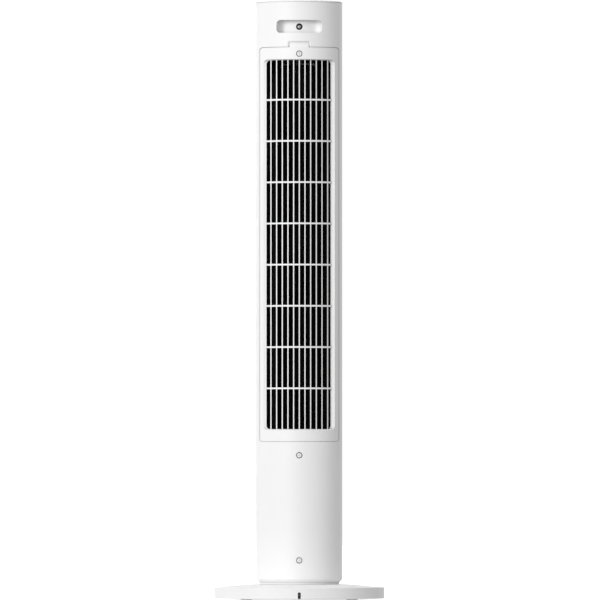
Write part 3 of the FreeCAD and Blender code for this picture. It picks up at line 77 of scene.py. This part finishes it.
class Recipe:
    """A small node graph round one Principled shader."""

    def __init__(self, name, metallic=0.0, specular=0.5, coat=0.0, coat_roughness=0.1):
        self.material = bpy.data.materials.new(name)
        self.material.use_nodes = True
        self.tree = self.material.node_tree
        self.shader = self.tree.nodes["Principled BSDF"]
        self.shader.inputs["Metallic"].default_value = metallic
        self.shader.inputs["Specular IOR Level"].default_value = specular
        self.shader.inputs["Coat Weight"].default_value = coat
        self.shader.inputs["Coat Roughness"].default_value = coat_roughness
        self.place = self.tree.nodes.new("ShaderNodeTexCoord").outputs["Object"]

    def link(self, source, target):
        self.tree.links.new(source, target)

    def noise(self, scale, detail=3.0, stretch=None):
        source = self.place
        if stretch:
            mapping = self.tree.nodes.new("ShaderNodeMapping")
            mapping.inputs["Scale"].default_value = stretch
            self.link(source, mapping.inputs["Vector"])
            source = mapping.outputs["Vector"]
        node = self.tree.nodes.new("ShaderNodeTexNoise")
        node.inputs["Scale"].default_value = scale
        node.inputs["Detail"].default_value = detail
        self.link(source, node.inputs["Vector"])
        return node.outputs["Fac"]

    def colour(self, fac, dark, light, low=0.35, high=0.65, painted_shade=0.0):
        """A tone between dark and light, with painted shade making it deeper in seams and recesses."""
        ramp = self.tree.nodes.new("ShaderNodeValToRGB")
        ramp.color_ramp.elements[0].position = low
        ramp.color_ramp.elements[1].position = high
        ramp.color_ramp.elements[0].color = (*dark, 1)
        ramp.color_ramp.elements[1].color = (*light, 1)
        self.link(fac, ramp.inputs["Fac"])
        tone = ramp.outputs["Color"]
        if painted_shade:
            # Painted shade: an ambient-occlusion node darkens the tone in seams and recesses, mixed in by
            # the given share.
            painted_shade_node = self.tree.nodes.new("ShaderNodeAmbientOcclusion")
            painted_shade_node.samples = PAINTED_SHADE_SAMPLES
            painted_shade_node.inputs["Distance"].default_value = PAINTED_SHADE_REACH
            self.link(tone, painted_shade_node.inputs["Color"])
            blend = self.tree.nodes.new("ShaderNodeMix")
            blend.data_type = "RGBA"
            blend.inputs[MIX_FACTOR].default_value = painted_shade
            self.link(tone, blend.inputs[MIX_COLOUR_A])
            self.link(painted_shade_node.outputs["Color"], blend.inputs[MIX_COLOUR_B])
            tone = blend.outputs[MIX_COLOUR_RESULT]
        self.link(tone, self.shader.inputs["Base Color"])

    def roughness(self, fac, low, high):
        node = self.tree.nodes.new("ShaderNodeMapRange")
        node.inputs["To Min"].default_value = low
        node.inputs["To Max"].default_value = high
        self.link(fac, node.inputs["Value"])
        self.link(node.outputs["Result"], self.shader.inputs["Roughness"])

    def bump(self, height, strength, distance):
        node = self.tree.nodes.new("ShaderNodeBump")
        node.inputs["Strength"].default_value = strength
        node.inputs["Distance"].default_value = distance
        self.link(height, node.inputs["Height"])
        self.link(node.outputs["Normal"], self.shader.inputs["Normal"])


def moulded(name, dark, light, rough, grain=1600.0, bump=0.12, painted_shade=0.0, **shader):
    """Moulded plastic or rubber: a fine spark-eroded grain under slow changes of tone and gloss, with
    optional painted shade in seams and recesses.
    """
    recipe = Recipe(name, **shader)
    recipe.colour(recipe.noise(TONE_SCALE), dark, light, painted_shade=painted_shade)
    recipe.roughness(recipe.noise(GLOSS_SCALE), rough - GLOSS_SPREAD, rough + GLOSS_SPREAD)
    recipe.bump(recipe.noise(grain, 2.0), bump, GRAIN_DEPTH)
    return recipe.material


def metal(name, dark, light, rough, stretch=(1, 1, 12), metallic=1.0):
    """Drawn or turned metal with fine lines along one direction."""
    recipe = Recipe(name, metallic=metallic)
    lines = recipe.noise(TURNING_SCALE, 2.0, stretch)
    recipe.colour(lines, dark, light, low=0.3, high=0.7)
    recipe.roughness(lines, rough - TURNING_SMOOTHER, rough + TURNING_ROUGHER)
    recipe.bump(lines, 0.1, TURNING_DEPTH)
    return recipe.material


def grey(level):
    return (level, level, level)


MATERIALS = {
    # The two whites carry painted shade in seams and recesses, fainter on the base.
    "white_shell": moulded("white_shell", grey(0.85), grey(0.87), 0.52, painted_shade=0.4, specular=0.4),
    "white_base": moulded("white_base", grey(0.85), grey(0.87), 0.52, painted_shade=0.15, specular=0.4),
    "white_screw": moulded("white_screw", grey(0.94), grey(0.97), 0.3, 900.0, 0.06),
    "dark_steel": metal("dark_steel", (0.03, 0.03, 0.034), (0.07, 0.07, 0.076), 0.5, (6, 6, 6), 0.5),
    "plain_steel": metal("plain_steel", (0.5, 0.5, 0.52), (0.68, 0.68, 0.7), 0.32),
    "black_plastic": moulded("black_plastic", grey(0.002), grey(0.004), 0.85, specular=0.005),
    "gloss_black": moulded(
        "gloss_black", (0.010, 0.010, 0.012), (0.014, 0.014, 0.016),
        0.14, 700.0, 0.02, coat=0.6,
    ),
    "window_film": moulded(
        "window_film", (0.012, 0.012, 0.015), (0.018, 0.018, 0.022),
        0.08, 500.0, 0.01, coat=1.0,
    ),
    "button_grey": moulded("button_grey", (0.76, 0.76, 0.77), (0.8, 0.8, 0.81), 0.5),
    "natural_nylon": moulded("natural_nylon", (0.76, 0.74, 0.68), (0.82, 0.8, 0.74), 0.42),
    "dark_rubber": moulded("dark_rubber", (0.06, 0.06, 0.062), (0.085, 0.085, 0.088), 0.78, 1200.0, 0.3),
    "grey_rubber": moulded("grey_rubber", grey(0.82), grey(0.87), 0.7, 1200.0, 0.25),
    "sintered_bronze": metal("sintered_bronze", (0.42, 0.28, 0.13), (0.6, 0.42, 0.22), 0.48, (5, 5, 5)),
    "aluminium_rotor": metal("aluminium_rotor", (0.6, 0.6, 0.62), (0.76, 0.76, 0.78), 0.4),
    "coil_tape": moulded("coil_tape", (0.4, 0.17, 0.05), (0.55, 0.26, 0.09), 0.45, 700.0, 0.2),
    "circuit_board": moulded("circuit_board", (0.01, 0.12, 0.05), (0.02, 0.2, 0.08), 0.35, 500.0, 0.1),
    "sign_grey": moulded("sign_grey", (0.10, 0.10, 0.105), (0.13, 0.13, 0.135), 0.55),
    "segment_grey": moulded("segment_grey", (0.16, 0.17, 0.18), (0.2, 0.21, 0.22), 0.3),
    "wire_sleeve": moulded("wire_sleeve", (0.02, 0.02, 0.022), (0.04, 0.04, 0.044), 0.7, 600.0, 0.4),
}


SHARP_ANGLE = 32.0
AXIS_REACH = 0.1 * MM
LEVEL_SLOPE = 0.01
SAME_RADIUS = 0.02 * MM
UPRIGHT_TURN = 0.3
SLOPED_TURN = 0.06
CONE_ERROR = 0.04 * MM
CONE_ERROR_RATE = 0.0008


def turned_normals(mesh):
    """Smooth shading whose normals are exact on every surface turned about the Z axis.

    A face belongs to such a surface if its normal has no large sideways part, and if its corners lie on one
    straight line in the plane of radius and height. Other faces keep their ordinary smooth normals.
    """
    mesh.polygons.foreach_set("use_smooth", [True] * len(mesh.polygons))
    mesh.set_sharp_from_angle(angle=math.radians(SHARP_ANGLE))
    points = np.zeros(len(mesh.vertices) * 3)
    mesh.vertices.foreach_get("co", points)
    points = points.reshape(-1, 3)
    normals = np.zeros(len(mesh.loops) * 3)
    mesh.corner_normals.foreach_get("vector", normals)
    normals = normals.reshape(-1, 3)
    for face in mesh.polygons:
        corners = points[list(face.vertices)]
        radii = np.hypot(corners[:, 0], corners[:, 1])
        centre = corners.mean(0)
        reach = math.hypot(centre[0], centre[1])
        if min(reach, radii.min()) < AXIS_REACH:
            continue
        flat = np.array(face.normal)
        outward = (flat[0] * centre[0] + flat[1] * centre[1]) / reach
        sideways = (flat[1] * centre[0] - flat[0] * centre[1]) / reach
        line = outward * radii + flat[2] * corners[:, 2]
        upright = abs(flat[2]) < LEVEL_SLOPE and np.ptp(radii) < SAME_RADIUS
        if abs(sideways) > (UPRIGHT_TURN if upright else SLOPED_TURN):
            continue
        if np.ptp(line) > CONE_ERROR + CONE_ERROR_RATE * np.ptp(radii):
            continue
        for loop, corner, radius in zip(face.loop_indices, corners, radii):
            normal = np.array([outward * corner[0] / radius, outward * corner[1] / radius, flat[2]])
            normals[loop] = normal / np.linalg.norm(normal)
    mesh.normals_split_custom_set(normals.tolist())


# The outer pieces, turned about the column's axis or the base's. The base's two have fainter painted shade
# in their seams and recesses.
SHELLS = (
    "front_housing", "rear_housing", "front_grille", "rear_grille", "top_cap", "turntable", "base_cover",
    "control_panel",
)
BASE_SHELLS = ("turntable", "base_cover")
for node, obj in NODES.items():
    obj.data.materials.clear()
    obj.data.materials.append(MATERIALS["white_base" if node in BASE_SHELLS else SLOTS[node]])
    if node in SHELLS:
        turned_normals(obj.data)
    else:
        obj.data.polygons.foreach_set("use_smooth", [True] * len(obj.data.polygons))
        obj.data.set_sharp_from_angle(angle=math.radians(SHARP_ANGLE))


# Keys, their signs and the display --------------------------------------------------------------------

def add_piece(name, bm, material, body, smooth_angle=30.0):
    """Turns a bmesh into a finished piece that rides on a body."""
    bmesh.ops.recalc_face_normals(bm, faces=bm.faces)
    mesh = bpy.data.meshes.new(name)
    bm.to_mesh(mesh)
    bm.free()
    mesh.polygons.foreach_set("use_smooth", [True] * len(mesh.polygons))
    mesh.set_sharp_from_angle(angle=math.radians(smooth_angle))
    mesh.materials.append(material)
    obj = bpy.data.objects.new(name, mesh)
    bpy.context.scene.collection.objects.link(obj)
    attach(obj, body)
    return obj


MERGE_DISTANCE = 1e-7


def lathe(bm, profile, centre, segments=64):
    """Turns a profile of (radius, height) points, with both ends on the axis, about a vertical axis."""
    rings = []
    for i in range(segments):
        angle = 2 * math.pi * i / segments
        ring = []
        for radius, height in profile:
            x = centre[0] + radius * math.cos(angle)
            y = centre[1] + radius * math.sin(angle)
            ring.append(bm.verts.new((x, y, height)))
        rings.append(ring)
    for i in range(segments):
        here, there = rings[i], rings[(i + 1) % segments]
        for j in range(len(profile) - 1):
            bm.faces.new((here[j], there[j], there[j + 1], here[j + 1]))
    bmesh.ops.remove_doubles(bm, verts=bm.verts, dist=MERGE_DISTANCE)


def stroke(bm, points, width, low, high, closed=False):
    """A raised line of even width along flat points."""
    count = len(points)
    lefts, rights = [], []
    for i, (x, y) in enumerate(points):
        before = points[i - 1] if closed or i else points[i]
        after = points[(i + 1) % count] if closed or i < count - 1 else points[i]
        dx, dy = after[0] - before[0], after[1] - before[1]
        reach = math.hypot(dx, dy)
        nx, ny = -dy / reach * width / 2, dx / reach * width / 2
        lefts.append((x + nx, y + ny))
        rights.append((x - nx, y - ny))
    columns = []
    for left, right in zip(lefts, rights):
        columns.append([bm.verts.new((*spot, z)) for spot in (left, right) for z in (low, high)])
    last = count if closed else count - 1
    for i in range(last):
        a, b = columns[i], columns[(i + 1) % count]
        bm.faces.new((a[1], b[1], b[3], a[3]))
        bm.faces.new((a[0], a[2], b[2], b[0]))
        bm.faces.new((a[0], b[0], b[1], a[1]))
        bm.faces.new((a[2], a[3], b[3], b[2]))
    if not closed:
        first, final = columns[0], columns[-1]
        bm.faces.new((first[0], first[1], first[3], first[2]))
        bm.faces.new((final[0], final[2], final[3], final[1]))


def arc(radius, start, end, steps=24, x=0.0, y=0.0):
    """Flat points along an arc. Angles are in degrees."""
    points = []
    for i in range(steps + 1):
        angle = math.radians(start + (end - start) * i / steps)
        points.append((x + radius * math.cos(angle), y + radius * math.sin(angle)))
    return points


def sign_strokes(name):
    """The generic sign on a key, as (points, closed), on a key of radius 1."""
    if name == "power_button":
        return [(arc(0.42, 125, 415), False), ([(0, 0.14), (0, 0.58)], False)]
    if name == "timer_button":
        return [(arc(0.5, 0, 345), True), ([(0, 0.34), (0, 0.0), (0.24, -0.12)], False)]
    if name == "speed_button":
        return [([(x, -0.4), (x, top)], False) for x, top in ((-0.36, -0.1), (0, 0.14), (0.36, 0.42))]
    if name == "mode_button":
        waves = []
        for y in (-0.3, 0.0, 0.3):
            wave = [(x / 10, y + 0.1 * math.sin(x * 0.9)) for x in range(-5, 6)]
            waves.append((wave, False))
        return waves
    swing = arc(0.62, 215, 325, 16, 0.0, 0.42)
    left, right = swing[0], swing[-1]
    tips = [
        ([(left[0] - 0.02, left[1] - 0.26), left, (left[0] + 0.27, left[1] - 0.02)], False),
        ([(right[0] + 0.02, right[1] - 0.26), right, (right[0] - 0.27, right[1] - 0.02)], False),
    ]
    return [(swing, False), ([(0, -0.05), (0, 0.42)], False)] + tips


KEYS = ("timer_button", "mode_button", "power_button", "speed_button", "oscillation_button")
FLANGE_REACH = 1.2 * MM
FLANGE_TOP_DEPTH = 3.1 * MM
FLANGE_LOW_DEPTH = 4.1 * MM
STEM_RADIUS = 2.0 * MM
EDGE_ROUNDING = 0.7 * MM
EDGE_STEPS = (90, 72, 54, 36, 18, 0)
# Shares of the cap's radius, each with the dish's depth there.
DISH = ((0.0, 0.36 * MM), (0.3, 0.35 * MM), (0.6, 0.29 * MM), (0.78, 0.16 * MM))
DISH_RIM_INSET = 1.0 * MM
DISH_RIM_DEPTH = 0.03 * MM
KEY_SHARP_ANGLE = 40.0
LINE_WIDTH = 0.7 * MM
SIGN_LOW_DEPTH = 0.5 * MM
SIGN_HIGH_DEPTH = 0.22 * MM


def key(name):
    """A key cap with a rounded edge and a dished top, its stop flange and its stem."""
    low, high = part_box(name)
    centre = ((low[0] + high[0]) / 2, (low[1] + high[1]) / 2)
    radius = (high[0] - low[0]) / 2 - FLANGE_REACH
    top = high[2]
    profile = [(radius * share, top - depth) for share, depth in DISH]
    profile.append((radius - DISH_RIM_INSET, top - DISH_RIM_DEPTH))
    for degrees in EDGE_STEPS:
        angle = math.radians(degrees)
        inset = EDGE_ROUNDING * (1 - math.cos(angle))
        drop = EDGE_ROUNDING * (1 - math.sin(angle))
        profile.append((radius - inset, top - drop))
    profile.append((radius, top - FLANGE_TOP_DEPTH))
    profile.append((radius + FLANGE_REACH, top - FLANGE_TOP_DEPTH))
    profile.append((radius + FLANGE_REACH, top - FLANGE_LOW_DEPTH))
    profile.append((STEM_RADIUS, top - FLANGE_LOW_DEPTH))
    profile.append((STEM_RADIUS, low[2]))
    profile.append((0, low[2]))
    bm = bmesh.new()
    lathe(bm, profile, centre)
    cap = add_piece(name + "_cap", bm, MATERIALS["button_grey"], name, KEY_SHARP_ANGLE)
    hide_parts(name)
    bm = bmesh.new()
    for points, closed in sign_strokes(name):
        placed = [(centre[0] - x * radius, centre[1] - y * radius) for x, y in points]
        stroke(bm, placed, LINE_WIDTH, top - SIGN_LOW_DEPTH, top - SIGN_HIGH_DEPTH, closed)
    add_piece(name + "_sign", bm, MATERIALS["sign_grey"], name)


# Each segment's two ends, in steps from the digit's middle.
SEGMENTS = {
    "top": ((-1, 2), (1, 2)), "middle": ((-1, 0), (1, 0)), "bottom": ((-1, -2), (1, -2)),
    "upper_left": ((-1, 2), (-1, 0)), "upper_right": ((1, 2), (1, 0)),
    "lower_left": ((-1, 0), (-1, -2)), "lower_right": ((1, 0), (1, -2)),
}
DIGIT_STEP = 2.4 * MM
DIGIT_OFFSET = 4.6 * MM
DIGIT_GAP = 0.16
SEGMENT_WIDTH = 0.9 * MM
SEGMENT_SINK = 0.05 * MM
SEGMENT_RISE = 0.03 * MM
# Radius, and height above the panel.
LIGHT_PROFILE = (
    (0, 0.22 * MM), (0.45 * MM, 0.18 * MM), (0.75 * MM, 0.04 * MM), (0.8 * MM, -0.2 * MM), (0, -0.2 * MM),
)
LIGHT_GAP = 1.6 * MM
LIGHT_SIDES = 20


def display_digits():
    """Two unlit seven-segment digits, printed on the window."""
    low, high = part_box("display_window")
    middle = ((low[0] + high[0]) / 2, (low[1] + high[1]) / 2)
    bm = bmesh.new()
    for offset in (-DIGIT_OFFSET, DIGIT_OFFSET):
        for start, end in SEGMENTS.values():
            points = []
            for t in (DIGIT_GAP / 2, 1 - DIGIT_GAP / 2):
                x = start[0] + (end[0] - start[0]) * t
                y = start[1] + (end[1] - start[1]) * t
                points.append((middle[0] + offset + x * DIGIT_STEP, middle[1] + y * DIGIT_STEP))
            stroke(bm, points, SEGMENT_WIDTH, high[2] - SEGMENT_SINK, high[2] + SEGMENT_RISE)
    add_piece("display_digits", bm, MATERIALS["segment_grey"], "tower")


def indicator_lights():
    """Small domed lights on the panel, one above each key."""
    panel_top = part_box("control_panel")[1][2]
    bm = bmesh.new()
    for name in KEYS:
        low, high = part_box(name)
        x, y = (low[0] + high[0]) / 2, (low[1] + high[1]) / 2
        reach = math.hypot(x, y)
        inward = (reach - (high[0] - low[0]) / 2 - LIGHT_GAP) / reach
        profile = [(radius, panel_top + rise) for radius, rise in LIGHT_PROFILE]
        lathe(bm, profile, (x * inward, y * inward), LIGHT_SIDES)
    add_piece("indicator_lights", bm, MATERIALS["segment_grey"], "tower")


for key_name in KEYS:
    key(key_name)
display_digits()
indicator_lights()


# Floor, light and camera -----------------------------------------------------------------------------

FLOOR_RADIUS = 14.0
FLOOR_GLOW = 0.75
BACKDROP_LEVEL = 1.05
FILL_LEVEL = 0.53
VIEW_DISTANCE = 21.0
VIEW_HEIGHT = 0.25
AIM_HEIGHT = 0.5505
SIDE_SHIFT = -0.0013
FOCAL_LENGTH = 686.6
SENSOR_WIDTH = 36.0
# Turn and elevation in degrees, strength, and apparent size in degrees.
LIGHTS = {
    "key": (35.0, 10.0, 1.78, 30.0),
    "rim": (130.0, 15.0, 0.45, 40.0),
    "front_left": (160.0, 13.0, 0.6, 12.0),
    "front_right": (200.0, 13.0, 0.6, 12.0),
    "top": (0.0, 90.0, 0.85, 30.0),
}


def studio_floor():
    """A pale floor, which glows a little so that it is as pale as the backdrop."""
    bm = bmesh.new()
    bmesh.ops.create_circle(bm, cap_ends=True, segments=96, radius=FLOOR_RADIUS)
    mesh = bpy.data.meshes.new("floor")
    bm.to_mesh(mesh)
    bm.free()
    obj = bpy.data.objects.new("floor", mesh)
    bpy.context.scene.collection.objects.link(obj)
    recipe = Recipe("floor")
    recipe.colour(recipe.noise(3.0), (0.84, 0.84, 0.84), (0.86, 0.86, 0.86))
    recipe.roughness(recipe.noise(5.0), 0.85, 0.95)
    recipe.shader.inputs["Emission Color"].default_value = (1, 1, 1, 1)
    recipe.shader.inputs["Emission Strength"].default_value = FLOOR_GLOW
    mesh.materials.append(recipe.material)
    obj.visible_diffuse = False
    obj.visible_glossy = False


def studio_world():
    """An even white backdrop for the camera, and a softer fill for everything else."""
    world = bpy.data.worlds.new("studio")
    bpy.context.scene.world = world
    world.use_nodes = True
    tree = world.node_tree
    backdrop = tree.nodes["Background"]
    backdrop.inputs["Color"].default_value = (1, 1, 1, 1)
    backdrop.inputs["Strength"].default_value = BACKDROP_LEVEL
    fill = tree.nodes.new("ShaderNodeBackground")
    fill.inputs["Color"].default_value = (1, 1, 1, 1)
    fill.inputs["Strength"].default_value = FILL_LEVEL
    rays = tree.nodes.new("ShaderNodeLightPath")
    mix = tree.nodes.new("ShaderNodeMixShader")
    tree.links.new(rays.outputs["Is Camera Ray"], mix.inputs["Fac"])
    tree.links.new(fill.outputs["Background"], mix.inputs[1])
    tree.links.new(backdrop.outputs["Background"], mix.inputs[2])
    tree.links.new(mix.outputs["Shader"], tree.nodes["World Output"].inputs["Surface"])


def soft_sun(name, turn, elevation, strength, softness):
    """A distant soft light. turn is the angle from the rear of the fan, +Y, towards +X."""
    data = bpy.data.lights.new(name, "SUN")
    data.energy = strength
    data.angle = math.radians(softness)
    obj = bpy.data.objects.new(name, data)
    bpy.context.scene.collection.objects.link(obj)
    a, e = math.radians(turn), math.radians(elevation)
    towards = Vector((math.sin(a) * math.cos(e), math.cos(a) * math.cos(e), math.sin(e)))
    obj.rotation_euler = towards.to_track_quat("Z", "Y").to_euler()


def rear_camera():
    """A long lens, low behind the fan."""
    data = bpy.data.cameras.new("camera")
    data.sensor_width = SENSOR_WIDTH
    data.lens = FOCAL_LENGTH
    data.clip_start = 1.0
    data.clip_end = 100.0
    obj = bpy.data.objects.new("camera", data)
    bpy.context.scene.collection.objects.link(obj)
    target = Vector((SIDE_SHIFT, 0.0, AIM_HEIGHT))
    obj.location = Vector((SIDE_SHIFT, VIEW_DISTANCE, VIEW_HEIGHT))
    obj.rotation_euler = (target - obj.location).to_track_quat("-Z", "Y").to_euler()
    bpy.context.scene.camera = obj


studio_floor()
studio_world()
for light_name, (turn, elevation, strength, softness) in LIGHTS.items():
    soft_sun(light_name, turn, elevation, strength, softness)
rear_camera()
bpy.context.scene.view_settings.view_transform = "Standard"
